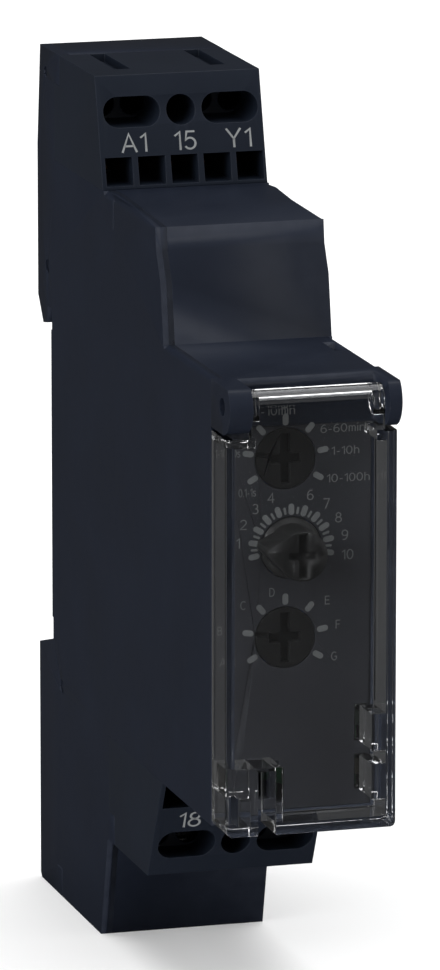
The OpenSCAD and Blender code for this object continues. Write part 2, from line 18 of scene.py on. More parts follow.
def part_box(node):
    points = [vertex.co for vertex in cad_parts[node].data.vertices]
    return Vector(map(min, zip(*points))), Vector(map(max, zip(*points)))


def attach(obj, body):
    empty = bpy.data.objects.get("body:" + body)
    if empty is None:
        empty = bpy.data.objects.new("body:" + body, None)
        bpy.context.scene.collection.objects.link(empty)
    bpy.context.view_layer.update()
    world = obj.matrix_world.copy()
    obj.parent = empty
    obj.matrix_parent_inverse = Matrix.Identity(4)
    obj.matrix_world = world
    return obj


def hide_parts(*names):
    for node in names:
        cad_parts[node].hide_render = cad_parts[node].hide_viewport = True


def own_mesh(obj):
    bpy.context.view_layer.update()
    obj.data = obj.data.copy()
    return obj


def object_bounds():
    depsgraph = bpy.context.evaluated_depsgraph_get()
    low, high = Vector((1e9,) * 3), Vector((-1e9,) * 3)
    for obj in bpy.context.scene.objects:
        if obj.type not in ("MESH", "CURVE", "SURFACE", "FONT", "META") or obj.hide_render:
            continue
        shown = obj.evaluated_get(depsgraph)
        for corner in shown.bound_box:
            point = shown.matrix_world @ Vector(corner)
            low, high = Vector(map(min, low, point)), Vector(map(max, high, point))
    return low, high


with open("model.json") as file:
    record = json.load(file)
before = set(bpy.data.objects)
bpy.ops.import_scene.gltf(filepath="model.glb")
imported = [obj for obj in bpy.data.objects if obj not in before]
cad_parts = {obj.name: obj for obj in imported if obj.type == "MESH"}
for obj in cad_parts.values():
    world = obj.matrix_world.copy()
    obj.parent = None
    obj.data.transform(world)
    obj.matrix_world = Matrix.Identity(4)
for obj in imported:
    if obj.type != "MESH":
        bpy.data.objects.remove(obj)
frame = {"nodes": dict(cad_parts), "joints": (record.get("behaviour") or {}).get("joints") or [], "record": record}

MM = 0.001
cad_low, cad_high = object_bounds()
nodes = frame["nodes"]
body_of_node = {n: body for body, names in frame["record"]["behaviour"]["bodies"].items() for n in names}
slot_of_node = {p["node"]: p["material_slot"] for p in frame["record"]["subparts"]}
print(len(nodes), "nodes,", "box in mm:", [round(v / MM, 1) for v in (cad_high - cad_low)])

# %% [markdown]
# ## Camera
# The picture is taken from a little above and from the left, with a very long lens, so that upright
# edges stay almost parallel. A camera can be placed by hand, but an angle, a distance and a target
# are easier to read back, so its matrix is worked out from those.

# %% Place the camera
VIEW_AZIMUTH = math.radians(-16.199)
VIEW_ELEVATION = math.radians(12.323)
VIEW_DISTANCE = 0.8262
LENS = 301.66
AIM_DEPTH = -0.03105
AIM_RIGHT = 0.00059
AIM_UP = 0.004642


def view_axes(azimuth, elevation):
    """Right, up and backward directions of a camera that looks at the object from that side."""
    flat = math.cos(elevation)
    back = Vector((math.sin(azimuth) * flat, -math.cos(azimuth) * flat, math.sin(elevation)))
    right = Vector((math.cos(azimuth), math.sin(azimuth), 0))
    return right, back.cross(right), back


def add_camera():
    right, up, back = view_axes(VIEW_AZIMUTH, VIEW_ELEVATION)
    place = Vector((0, AIM_DEPTH, 0)) + right * AIM_RIGHT + up * AIM_UP + back * VIEW_DISTANCE
    data = bpy.data.cameras.new("camera")
    data.lens = LENS
    camera = bpy.data.objects.new("camera", data)
    bpy.context.scene.collection.objects.link(camera)
    camera.matrix_world = Matrix.Translation(place) @ Matrix((right, up, back)).transposed().to_4x4()
    bpy.context.scene.camera = camera
    return camera


print("camera at", [round(v, 3) for v in add_camera().matrix_world.translation])

# %% [markdown]
# ## Floor and light
# A studio picture of a dark part needs a pale floor and broad, soft lamps. Large lamps give the satin
# plastic long, faint gradients and give the clear lid bright edges. One huge white world would do the
# first but would lay a grey veil over the dark plastic. So the floor and the world are white where the
# camera sees them and dim in the plastic's gloss, as if black flags stood just outside the picture.

# %% Build the stage
FLOOR_HALF = 4.0
FLOOR_Z = cad_low.z
# How bright the surroundings are for each kind of ray
FOR_CAMERA = 1.0
FOR_GLOSS = 0.05
FOR_GLASS = 0.8
FOR_DIFFUSE = 0.55
FLOOR_SHADES = (0.93, 0.05, 0.6, 0.85)


def by_ray(tree, camera, gloss, glass, diffuse):
    """A number that depends on the kind of ray that meets the stage."""
    path = tree.nodes.new("ShaderNodeLightPath")
    value = diffuse
    for kind, amount in (("Is Transmission Ray", glass), ("Is Glossy Ray", gloss), ("Is Camera Ray", camera)):
        pick = tree.nodes.new("ShaderNodeMix")
        tree.links.new(path.outputs[kind], pick.inputs["Factor"])
        if isinstance(value, bpy.types.NodeSocket):
            tree.links.new(value, pick.inputs[2])
        else:
            pick.inputs[2].default_value = value
        pick.inputs[3].default_value = amount
        value = pick.outputs[0]
    return value


def add_floor():
    mesh = bpy.data.meshes.new("floor")
    corners = [(-1, -1), (1, -1), (1, 1), (-1, 1)]
    mesh.from_pydata([(x * FLOOR_HALF, y * FLOOR_HALF, FLOOR_Z) for x, y in corners], [], [(0, 1, 2, 3)])
    floor = bpy.data.objects.new("floor", mesh)
    bpy.context.scene.collection.objects.link(floor)
    material = bpy.data.materials.new("pale_floor")
    material.use_nodes = True
    shader = material.node_tree.nodes["Principled BSDF"]
    shade = by_ray(material.node_tree, *FLOOR_SHADES)
    material.node_tree.links.new(shade, shader.inputs["Base Color"])
    shader.inputs["Roughness"].default_value = 0.9
    shader.inputs["Specular IOR Level"].default_value = 0.0
    mesh.materials.append(material)


def add_world():
    world = bpy.data.worlds.new("studio")
    world.use_nodes = True
    tree = world.node_tree
    tree.nodes.clear()
    sky = tree.nodes.new("ShaderNodeBackground")
    sky.inputs["Color"].default_value = (1, 1, 1, 1)
    out = tree.nodes.new("ShaderNodeOutputWorld")
    tree.links.new(by_ray(tree, FOR_CAMERA, FOR_GLOSS, FOR_GLASS, FOR_DIFFUSE), sky.inputs["Strength"])
    tree.links.new(sky.outputs[0], out.inputs["Surface"])
    bpy.context.scene.world = world


def add_lamp(name, place, size, power):
    """A square soft box that faces the middle of the object."""
    data = bpy.data.lights.new(name, "AREA")
    data.shape = "RECTANGLE"
    data.size, data.size_y = size
    data.energy = power
    lamp = bpy.data.objects.new(name, data)
    bpy.context.scene.collection.objects.link(lamp)
    aim = Vector((0, AIM_DEPTH, 0)) - Vector(place)
    lamp.matrix_world = Matrix.Translation(place) @ aim.to_track_quat("-Z", "Y").to_matrix().to_4x4()


add_floor()
add_world()
add_lamp("lamp_above", (0.1, 0.0, 1.6), (1.6, 1.6), 23)
add_lamp("lamp_left", (-1.5, -0.7, 0.5), (1.2, 1.6), 25)
add_lamp("lamp_front", (0.5, -1.7, 0.9), (1.4, 1.2), 2)
add_lamp("lamp_right", (1.3, -0.5, 0.4), (0.8, 1.6), 8)
bpy.context.scene.view_settings.view_transform = "Standard"
print("stage has a floor, a dim world and", len(bpy.data.lights), "lamps")

# %% [markdown]
# ## Shared effects as node groups
# Several plastics share the same fine spark-eroded mould texture, and every hard edge of the casing
# gets a painted highlight, a lighter colour where the surface turns sharply. Copying those nodes into
# each material would work, but one group with named inputs keeps them alike and lets each material set
# its own amounts. The groups put out only masks and heights, and the Principled shader stays in the material.

# %% Helpers for node trees
def node(tree, kind, **values):
    """A node whose listed inputs or attributes are set by name."""
    made = tree.nodes.new(kind)
    for key, value in values.items():
        socket = made.inputs.get(key.replace("_", " ")) if key[0].isupper() else None
        if socket is not None:
            socket.default_value = value
        else:
            setattr(made, key, value)
    return made


def new_group(name, inputs, outputs):
    """An empty shader group with float inputs {name: default} and float outputs."""
    group = bpy.data.node_groups.new(name, "ShaderNodeTree")
    for title, default in inputs.items():
        socket = group.interface.new_socket(title, in_out="INPUT", socket_type="NodeSocketFloat")
        socket.default_value = default
    for title in outputs:
        group.interface.new_socket(title, in_out="OUTPUT", socket_type="NodeSocketFloat")
    return group, group.nodes.new("NodeGroupInput"), group.nodes.new("NodeGroupOutput")


def maths(tree, operation, a, b=0.0):
    """One Math node, where a and b are sockets or numbers."""
    made = tree.nodes.new("ShaderNodeMath")
    made.operation = operation
    for socket, value in zip(made.inputs, (a, b)):
        if isinstance(value, (int, float)):
            socket.default_value = value
        else:
            tree.links.new(value, socket)
    return made.outputs[0]


# %% Mould texture group
def mould_texture_group():
    """Fine grain and slow tone changes, as a spark-eroded steel mould leaves them."""
    group, enter, leave = new_group("mould_texture", {"Grain": 2600.0, "Drift": 90.0}, ["Height", "Tone"])
    place = group.nodes.new("ShaderNodeTexCoord").outputs["Object"]
    fine = node(group, "ShaderNodeTexNoise", Detail=3.0, Roughness=0.6)
    slow = node(group, "ShaderNodeTexNoise", Detail=4.0, Roughness=0.55)
    for texture, size in ((fine, "Grain"), (slow, "Drift")):
        group.links.new(place, texture.inputs["Vector"])
        group.links.new(enter.outputs[size], texture.inputs["Scale"])
    group.links.new(fine.outputs["Fac"], leave.inputs["Height"])
    group.links.new(slow.outputs["Fac"], leave.inputs["Tone"])
    return group


mould_texture = mould_texture_group()
print("group", mould_texture.name, "has", len(mould_texture.nodes), "nodes")


# %% Painted edge highlight group
def edge_wear_group():
    """A mask for a painted highlight: high where the surface turns sharply, broken up by noise."""
    # Painted highlight: this mask marks sharp edges so that materials can lighten their colour there.
    group, enter, leave = new_group("edge_wear", {"Radius": 0.0003, "Amount": 1.0}, ["Mask"])
    bevel = node(group, "ShaderNodeBevel", samples=4)
    group.links.new(enter.outputs["Radius"], bevel.inputs["Radius"])
    geometry = group.nodes.new("ShaderNodeNewGeometry")
    dot = node(group, "ShaderNodeVectorMath", operation="DOT_PRODUCT")
    group.links.new(bevel.outputs[0], dot.inputs[0])
    group.links.new(geometry.outputs["True Normal"], dot.inputs[1])
    turned = maths(group, "SUBTRACT", 1.0, dot.outputs["Value"])
    noise = node(group, "ShaderNodeTexNoise", Scale=700.0, Detail=5.0)
    coord = group.nodes.new("ShaderNodeTexCoord")
    group.links.new(coord.outputs["Object"], noise.inputs["Vector"])
    broken = maths(group, "MULTIPLY", maths(group, "MULTIPLY", turned, 4.0), noise.outputs["Fac"])
    kept = group.nodes.new("ShaderNodeClamp")
    group.links.new(maths(group, "MULTIPLY", broken, enter.outputs["Amount"]), kept.inputs["Value"])
    group.links.new(kept.outputs[0], leave.inputs["Mask"])
    return group


edge_wear = edge_wear_group()
print("group", edge_wear.name, "has", len(edge_wear.nodes), "nodes")


# %% Drawn metal group
def drawn_metal_group():
    """Long thin streaks along Z, as rolling and drawing leave them, and soft blotches."""
    group, enter, leave = new_group("drawn_metal", {"Fine": 4000.0, "Stretch": 0.04}, ["Height", "Blotch"])
    coord = group.nodes.new("ShaderNodeTexCoord").outputs["Object"]
    squeeze = group.nodes.new("ShaderNodeVectorMath")
    squeeze.operation = "MULTIPLY"
    shape = group.nodes.new("ShaderNodeCombineXYZ")
    shape.inputs["X"].default_value = 1.0
    shape.inputs["Y"].default_value = 1.0
    group.links.new(enter.outputs["Stretch"], shape.inputs["Z"])
    group.links.new(coord, squeeze.inputs[0])
    group.links.new(shape.outputs[0], squeeze.inputs[1])
    streak = node(group, "ShaderNodeTexNoise", Detail=2.0)
    group.links.new(squeeze.outputs[0], streak.inputs["Vector"])
    group.links.new(enter.outputs["Fine"], streak.inputs["Scale"])
    blotch = node(group, "ShaderNodeTexNoise", Scale=300.0, Detail=3.0)
    group.links.new(coord, blotch.inputs["Vector"])
    group.links.new(streak.outputs["Fac"], leave.inputs["Height"])
    group.links.new(blotch.outputs["Fac"], leave.inputs["Blotch"])
    return group


drawn_metal = drawn_metal_group()
print("group", drawn_metal.name, "has", len(drawn_metal.nodes), "nodes")

# %% [markdown]
# ## Materials
# Each finish of the real device gets its own small function. Opaque plastics differ in tone, gloss and
# grain, so one helper builds them from those numbers: slow tone changes and a painted highlight on the
# edges go to the colour, the same drift moves the roughness, and the grain goes to a bump. Flat numbers
# are set on the shader's own sockets.

# %% Opaque plastics
def start_material(name):
    """A material with its tree emptied down to one Principled shader."""
    material = bpy.data.materials.new(name)
    material.use_nodes = True
    return material, material.node_tree, material.node_tree.nodes["Principled BSDF"]


def place_group(tree, group, **values):
    made = tree.nodes.new("ShaderNodeGroup")
    made.node_tree = group
    for key, value in values.items():
        made.inputs[key].default_value = value
    return made


def mix_colour(tree, factor, low, high):
    """A colour between low and high, each a colour or a socket, by a factor socket."""
    made = tree.nodes.new("ShaderNodeMix")
    made.data_type = "RGBA"
    tree.links.new(factor, made.inputs["Factor"])
    for socket, value in ((made.inputs[6], low), (made.inputs[7], high)):
        if isinstance(value, bpy.types.NodeSocket):
            tree.links.new(value, socket)
        else:
            socket.default_value = (*value, 1)
    return made.outputs[2]


def spread(tree, factor, low, high):
    """Maps a 0 to 1 socket to low to high."""
    made = tree.nodes.new("ShaderNodeMapRange")
    tree.links.new(factor, made.inputs["Value"])
    made.inputs["From Min"].default_value = 0.3
    made.inputs["From Max"].default_value = 0.7
    made.inputs["To Min"].default_value = low
    made.inputs["To Max"].default_value = high
    return made.outputs[0]


def add_bump(tree, shader, height, depth):
    bump = tree.nodes.new("ShaderNodeBump")
    bump.inputs["Strength"].default_value = 1.0
    bump.inputs["Distance"].default_value = depth
    tree.links.new(height, bump.inputs["Height"])
    tree.links.new(bump.outputs[0], shader.inputs["Normal"])


def moulded_plastic(name, colour, roughness, gloss=0.12, grain=2600.0, depth=0.000006, highlight_amount=0.35,
                    spread_by=0.12):
    """Opaque moulded plastic with a satin texture and a painted highlight on its edges."""
    material, tree, shader = start_material(name)
    texture = place_group(tree, mould_texture, Grain=grain)
    # Painted highlight: a mask of the sharp edges, where the colour is made lighter.
    edge_highlight = place_group(tree, edge_wear, Radius=0.00025, Amount=highlight_amount)
    darker = tuple(c * (1 - spread_by) for c in colour)
    lighter = tuple(c * (1 + spread_by) for c in colour)
    # The lighter colour of the painted edge highlight.
    highlight_colour = tuple(min(1.0, c * 1.7 + 0.012) for c in colour)
    tone = mix_colour(tree, spread(tree, texture.outputs["Tone"], 0.0, 1.0), darker, lighter)
    tree.links.new(mix_colour(tree, edge_highlight.outputs["Mask"], tone, highlight_colour), shader.inputs["Base Color"])
    gloss_drift = spread(tree, texture.outputs["Tone"], roughness - 0.05, roughness + 0.05)
    tree.links.new(gloss_drift, shader.inputs["Roughness"])
    shader.inputs["Specular IOR Level"].default_value = gloss
    add_bump(tree, shader, texture.outputs["Height"], depth)
    return material


finish = {}
# A keyword amount, where given, sets how strongly the painted edge highlight lightens that plastic.
finish["case_plastic"] = moulded_plastic("case_plastic", (0.0090, 0.0120, 0.0208), 0.42)
finish["terminal_plastic"] = moulded_plastic("terminal_plastic", (0.0090, 0.0122, 0.0198), 0.4)
finish["panel_plastic"] = moulded_plastic("panel_plastic", (0.0250, 0.0258, 0.0300), 0.5, highlight_amount=0.1)
finish["dial_plastic"] = moulded_plastic("dial_plastic", (0.0115, 0.0115, 0.0115), 0.38, highlight_amount=0.6)
finish["clip_plastic"] = moulded_plastic("clip_plastic", (0.02, 0.021, 0.024), 0.5, grain=1500.0, highlight_amount=0.8)
finish["bobbin_plastic"] = moulded_plastic("bobbin_plastic", (0.68, 0.64, 0.5), 0.4, gloss=0.5)
finish["blue_plastic"] = moulded_plastic("blue_plastic", (0.05, 0.15, 0.4), 0.35, gloss=0.5)
finish["black_component"] = moulded_plastic("black_component", (0.02, 0.02, 0.021), 0.5, grain=5000.0)
finish["ferrite"] = moulded_plastic("ferrite", (0.06, 0.06, 0.065), 0.62, grain=4000.0, depth=0.00002)
finish["film_yellow"] = moulded_plastic("film_yellow", (0.62, 0.4, 0.04), 0.3, gloss=0.5, highlight_amount=0.1)
print(len(finish), "moulded plastics")

# %% [markdown]
# ## Print, metal and the rest
# The print on the case is a thin layer of pale ink, a little uneven where the screen left it. The springs
# and bars are rolled strip, so their streaks run one way. The enamelled wire, the shrink sleeve, the
# diodes and the boards each get one short function, because they hardly share a thing.

# %% Print and metal
def printed_ink(name, colour):
    """Matt ink with slightly uneven cover."""
    material, tree, shader = start_material(name)
    texture = place_group(tree, mould_texture, Grain=5200.0, Drift=900.0)
    thin = tuple(c * 0.8 for c in colour)
    cover = spread(tree, texture.outputs["Tone"], 0.0, 1.0)
    tree.links.new(mix_colour(tree, cover, thin, colour), shader.inputs["Base Color"])
    tree.links.new(spread(tree, texture.outputs["Height"], 0.5, 0.65), shader.inputs["Roughness"])
    shader.inputs["Specular IOR Level"].default_value = 0.2
    add_bump(tree, shader, texture.outputs["Height"], 0.000003)
    return material


def rolled_metal(name, colour, roughness):
    """Rolled or drawn metal with fine streaks, dull blotches and a painted highlight on its edges."""
    material, tree, shader = start_material(name)
    texture = place_group(tree, drawn_metal)
    # Painted highlight: sharp edges get the brighter colour through this mask.
    edge_highlight = place_group(tree, edge_wear, Radius=0.0001, Amount=0.8)
    dull = tuple(c * 0.72 for c in colour)
    bright = tuple(min(1.0, c * 1.25) for c in colour)
    blotched = mix_colour(tree, spread(tree, texture.outputs["Blotch"], 0.0, 1.0), dull, colour)
    tree.links.new(mix_colour(tree, edge_highlight.outputs["Mask"], blotched, bright), shader.inputs["Base Color"])
    tree.links.new(spread(tree, texture.outputs["Height"], roughness - 0.08, roughness + 0.1),
                   shader.inputs["Roughness"])
    shader.inputs["Metallic"].default_value = 1.0
    add_bump(tree, shader, texture.outputs["Height"], 0.000004)
    return material


finish["case_ink"] = printed_ink("case_ink", (0.23, 0.24, 0.245))
finish["panel_ink"] = printed_ink("panel_ink", (0.14, 0.145, 0.145))
finish["spring_steel"] = rolled_metal("spring_steel", (0.62, 0.62, 0.6), 0.28)
finish["copper_strip"] = rolled_metal("copper_strip", (0.7, 0.42, 0.27), 0.35)
finish["contact_bronze"] = rolled_metal("contact_bronze", (0.7, 0.5, 0.26), 0.3)
finish["soft_iron"] = rolled_metal("soft_iron", (0.42, 0.43, 0.45), 0.4)
print("ink and metals made, now", len(finish), "finishes")


# %% Boards, wire, sleeve, resistor and diodes
def circuit_board():
    """Green lacquer over copper tracks: square cells stand for the tracks under the lacquer."""
    material, tree, shader = start_material("circuit_board")
    coord = tree.nodes.new("ShaderNodeTexCoord").outputs["Object"]
    tracks = node(tree, "ShaderNodeTexVoronoi", Scale=420.0, distance="CHEBYCHEV")
    tree.links.new(coord, tracks.inputs["Vector"])
    texture = place_group(tree, mould_texture, Grain=3000.0)
    edge = node(tree, "ShaderNodeMath", operation="GREATER_THAN")
    tree.links.new(tracks.outputs["Distance"], edge.inputs[0])
    edge.inputs[1].default_value = 0.42
    colour = mix_colour(tree, edge.outputs[0], (0.012, 0.1, 0.035), (0.02, 0.19, 0.06))
    tree.links.new(colour, shader.inputs["Base Color"])
    tree.links.new(spread(tree, texture.outputs["Tone"], 0.25, 0.35), shader.inputs["Roughness"])
    add_bump(tree, shader, edge.outputs[0], 0.000012)
    return material


def coil_wire():
    """Enamelled copper: a warm metal under a glossy clear coat."""
    material = rolled_metal("coil_wire", (0.62, 0.24, 0.1), 0.3)
    material.node_tree.nodes["Principled BSDF"].inputs["Coat Weight"].default_value = 0.8
    return material


def shrink_sleeve():
    """Dark blue sleeve with one pale stripe for the negative side."""
    material, tree, shader = start_material("capacitor_sleeve")
    coord = tree.nodes.new("ShaderNodeTexCoord").outputs["Object"]
    split = tree.nodes.new("ShaderNodeSeparateXYZ")
    tree.links.new(coord, split.inputs[0])
    low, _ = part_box("reservoir_capacitor")
    stripe = maths(tree, "LESS_THAN", split.outputs["Z"], low.z + 1.1 * MM)
    texture = place_group(tree, mould_texture, Grain=2000.0)
    sleeve = mix_colour(tree, texture.outputs["Tone"], (0.02, 0.03, 0.12), (0.03, 0.04, 0.16))
    tree.links.new(mix_colour(tree, stripe, sleeve, (0.5, 0.52, 0.55)), shader.inputs["Base Color"])
    tree.links.new(spread(tree, texture.outputs["Tone"], 0.22, 0.34), shader.inputs["Roughness"])
    add_bump(tree, shader, texture.outputs["Height"], 0.000004)
    return material


def banded_resistor():
    """Pale blue lacquer with colour rings along its length."""
    material, tree, shader = start_material("resistor_body")
    coord = tree.nodes.new("ShaderNodeTexCoord").outputs["Object"]
    split = tree.nodes.new("ShaderNodeSeparateXYZ")
    tree.links.new(coord, split.inputs[0])
    low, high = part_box("fuse_resistor")
    along = node(tree, "ShaderNodeMapRange")
    tree.links.new(split.outputs["Z"], along.inputs["Value"])
    along.inputs["From Min"].default_value = low.z
    along.inputs["From Max"].default_value = high.z
    rings = tree.nodes.new("ShaderNodeValToRGB")
    rings.color_ramp.interpolation = "CONSTANT"
    lacquer = (0.25, 0.42, 0.55)
    bands = [(0.0, lacquer), (0.25, (0.3, 0.12, 0.03)), (0.31, lacquer), (0.41, (0.02, 0.02, 0.02)),
             (0.47, lacquer), (0.57, (0.5, 0.05, 0.02)), (0.63, lacquer), (0.76, (0.55, 0.4, 0.08)),
             (0.82, lacquer)]
    for place, colour in bands:
        stop = rings.color_ramp.elements.new(place) if place > 0 else rings.color_ramp.elements[0]
        stop.color = (*colour, 1)
    rings.color_ramp.elements.remove(rings.color_ramp.elements[-1])
    tree.links.new(along.outputs[0], rings.inputs[0])
    tree.links.new(rings.outputs[0], shader.inputs["Base Color"])
    texture = place_group(tree, mould_texture, Grain=3000.0)
    tree.links.new(spread(tree, texture.outputs["Tone"], 0.3, 0.42), shader.inputs["Roughness"])
    add_bump(tree, shader, texture.outputs["Height"], 0.000008)
    return material


def diode_resin(name, colour):
    """Tinted clear resin of a small surface diode."""
    material, tree, shader = start_material(name)
    texture = place_group(tree, mould_texture, Grain=4000.0)
    pale = tuple(c * 1.5 for c in colour)
    tree.links.new(mix_colour(tree, texture.outputs["Tone"], colour, pale), shader.inputs["Base Color"])
    tree.links.new(spread(tree, texture.outputs["Tone"], 0.1, 0.2), shader.inputs["Roughness"])
    add_bump(tree, shader, texture.outputs["Height"], 0.000003)
    return material


finish["circuit_board"] = circuit_board()
finish["coil_wire"] = coil_wire()
finish["capacitor_sleeve"] = shrink_sleeve()
finish["resistor_body"] = banded_resistor()
finish["green_led"] = diode_resin("green_led", (0.06, 0.085, 0.065))
finish["amber_led"] = diode_resin("amber_led", (0.09, 0.08, 0.06))
print("small parts done, now", len(finish), "finishes")

# %% [markdown]
# ## Clear plastic
# The lid and the light guides are polycarbonate. Glass in a path tracer blocks lamp light from what is
# behind it, so for shadow rays the same surface turns to plain transparency, and the marks under the
# lid stay lit. A very faint moulding ripple keeps its flat faces from looking like a mirror.

# %% Clear plastic
def clear_plastic(name, tint, roughness):
    material, tree, shader = start_material(name)
    texture = place_group(tree, mould_texture, Grain=900.0, Drift=120.0)
    smoke = tuple(c * 0.97 for c in tint)
    shade = mix_colour(tree, spread(tree, texture.outputs["Tone"], 0.0, 1.0), smoke, tint)
    tree.links.new(shade, shader.inputs["Base Color"])
    tree.links.new(spread(tree, texture.outputs["Tone"], roughness, roughness + 0.02),
                   shader.inputs["Roughness"])
    shader.inputs["Transmission Weight"].default_value = 1.0
    shader.inputs["IOR"].default_value = 1.49
    add_bump(tree, shader, texture.outputs["Tone"], 0.0000004)
    path = tree.nodes.new("ShaderNodeLightPath")
    through = tree.nodes.new("ShaderNodeBsdfTransparent")
    through.inputs["Color"].default_value = (0.93, 0.94, 0.95, 1)
    mix = tree.nodes.new("ShaderNodeMixShader")
    tree.links.new(path.outputs["Is Shadow Ray"], mix.inputs[0])
    tree.links.new(shader.outputs[0], mix.inputs[1])
    tree.links.new(through.outputs[0], mix.inputs[2])
    tree.links.new(mix.outputs[0], tree.nodes["Material Output"].inputs["Surface"])
    return material


finish["clear_plastic"] = clear_plastic("clear_plastic", (0.93, 0.94, 0.95), 0.01)
print("all", len(finish), "finishes:", ", ".join(sorted(finish)))

# %% [markdown]
# ## Rounded edges
# No moulded or stamped edge is perfectly sharp: a small round catches a thin line of light, and that
# line makes a dark part readable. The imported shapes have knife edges. Each piece is therefore a merged
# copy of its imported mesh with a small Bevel. A round that is too wide for a thin rib folds over itself
# and adds surface, where a clean one always takes some away. So the helper measures each try, and takes
# the widest round that leaves the copy closed and its surface no larger.

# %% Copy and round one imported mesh
MERGE = 0.000001
FLAT_ANGLE = math.radians(1.0)
SHARP_ANGLE = math.radians(32.0)
SMOOTH_ANGLE = math.radians(50.0)
FLAT_WEIGHT = 95


def merged_copy(name, join_flat):
    """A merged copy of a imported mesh, with its flat faces joined or left as triangles."""
    bm = bmesh.new()
    bm.from_mesh(nodes[name].data)
    bmesh.ops.remove_doubles(bm, verts=bm.verts, dist=MERGE)
    if join_flat:
        bmesh.ops.dissolve_limit(bm, angle_limit=FLAT_ANGLE, verts=bm.verts, edges=bm.edges)
    mesh = bpy.data.meshes.new(name + "_mesh")
    bm.to_mesh(mesh)
    bm.free()
    smooth(mesh, SHARP_ANGLE)
    return mesh


def measure(mesh):
    """Open edges, surface and box size of a mesh."""
    bm = bmesh.new()
    bm.from_mesh(mesh)
    open_edges = sum(not e.is_manifold for e in bm.edges)
    bm.free()
    mesh.calc_loop_triangles()
    surface = sum(t.area for t in mesh.loop_triangles)
    spans = [max(c) - min(c) for c in zip(*(v.co for v in mesh.vertices))]
    return open_edges, surface, spans


def new_piece(name, mesh):
    piece = bpy.data.objects.new(name, mesh)
    bpy.context.scene.collection.objects.link(piece)
    return piece


def smooth(mesh, angle):
    mesh.polygons.foreach_set("use_smooth", [True] * len(mesh.polygons))
    mesh.set_sharp_from_angle(angle=angle)


def flat_shaded_rounds(mesh):
    """A copy whose normals follow the large flats, so that only the rounds shade as curved."""
    smooth(mesh, SMOOTH_ANGLE)
    host = new_piece("host", mesh)
    weigh = host.modifiers.new("weigh", "WEIGHTED_NORMAL")
    weigh.mode = "FACE_AREA_WITH_ANGLE"
    weigh.weight = FLAT_WEIGHT
    weigh.keep_sharp = True
    made = bpy.data.meshes.new_from_object(host.evaluated_get(bpy.context.evaluated_depsgraph_get()))
    bpy.data.objects.remove(host)
    return made


def bevelled(mesh, width):
    """A plain mesh with the sharp edges of mesh rounded by width."""
    host = new_piece("host", mesh)
    bevel = host.modifiers.new("round", "BEVEL")
    bevel.width = width
    bevel.segments = 2
    bevel.limit_method = "ANGLE"
    bevel.angle_limit = SHARP_ANGLE
    bevel.use_clamp_overlap = False
    made = bpy.data.meshes.new_from_object(host.evaluated_get(bpy.context.evaluated_depsgraph_get()))
    bpy.data.objects.remove(host)
    return made


def rounded_mesh(name, width):
    """The node's mesh with the widest clean round up to width, and that round."""
    sources = [merged_copy(name, True), merged_copy(name, False)]
    open_before, surface, spans = measure(sources[1])
    for share in (1.0, 0.75, 0.5, 0.3):
        for source in sources:
            made = bevelled(source, width * share)
            open_after, rounded_surface, rounded_spans = measure(made)
            grown = max(a - b for a, b in zip(rounded_spans, spans))
            if open_after <= open_before and rounded_surface < surface * 1.001 and grown < 20 * MERGE:
                return made, width * share
    return sources[1], 0.0


# %% Round every rigid piece
ROUND = {
    "case_base": 0.3, "side_cover": 0.3, "upper_terminal_block": 0.22, "lower_terminal_block": 0.22,
    "front_panel": 0.15, "lid": 0.16, "range_dial": 0.1, "fine_dial": 0.16, "function_dial": 0.1,
    "range_switch": 0.3, "fine_potentiometer": 0.3, "function_switch": 0.3, "front_board": 0.06,
    "main_board": 0.06, "board_link": 0.06, "rail_clip": 0.3, "relay_base": 0.1, "relay_case": 0.4,
    "relay_bobbin": 0.12, "relay_yoke": 0.12, "film_capacitor": 0.5, "reservoir_capacitor": 0.5,
    "varistor": 0.6, "rectifier": 0.25, "controller_chip": 0.06, "filter_choke": 0.3,
}
SMALL_ROUND = 0.05
REPLACED_LATER = {"clip_spring", "relay_winding"}


def finish_piece(name):
    """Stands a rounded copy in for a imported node, with its body, slot and material."""
    mesh, width = rounded_mesh(name, ROUND.get(name, SMALL_ROUND) * MM)
    mesh = flat_shaded_rounds(mesh)
    mesh.materials.clear()
    mesh.materials.append(finish[slot_of_node[name]])
    piece = new_piece(name + "_piece", mesh)
    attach(piece, body_of_node[name])
    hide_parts(name)
    return width


for name in sorted(set(nodes) - REPLACED_LATER):
    width = finish_piece(name)
    print(name, "rounded by", round(width / MM, 3), "mm")
for name, packed in nodes.items():
    packed.data.materials.clear()
    packed.data.materials.append(finish[slot_of_node[name]])

# %% [markdown]
# ## Lettering
# Terminal numbers and dial marks are thin printed ink. They could be a picture on the surface, but a
# picture needs a file and blurs up close. A Text object would do, but its own typeface draws a one as a
# bare bar. Here each sign is a few strokes of even width, as an engraver would cut them: straight runs
# and arcs in a cell that is one unit high. A stroke becomes a thin closed ribbon of ink.

# %% Signs as strokes
INK = 0.02 * MM
ARC_STEP = 18


def arc(x, y, rx, ry, start, end):
    """Points along part of an ellipse, angles in degrees."""
    steps = max(2, round(abs(end - start) / ARC_STEP))
    angles = [math.radians(start + (end - start) * k / steps) for k in range(steps + 1)]
    return [(x + rx * math.cos(a), y + ry * math.sin(a)) for a in angles]


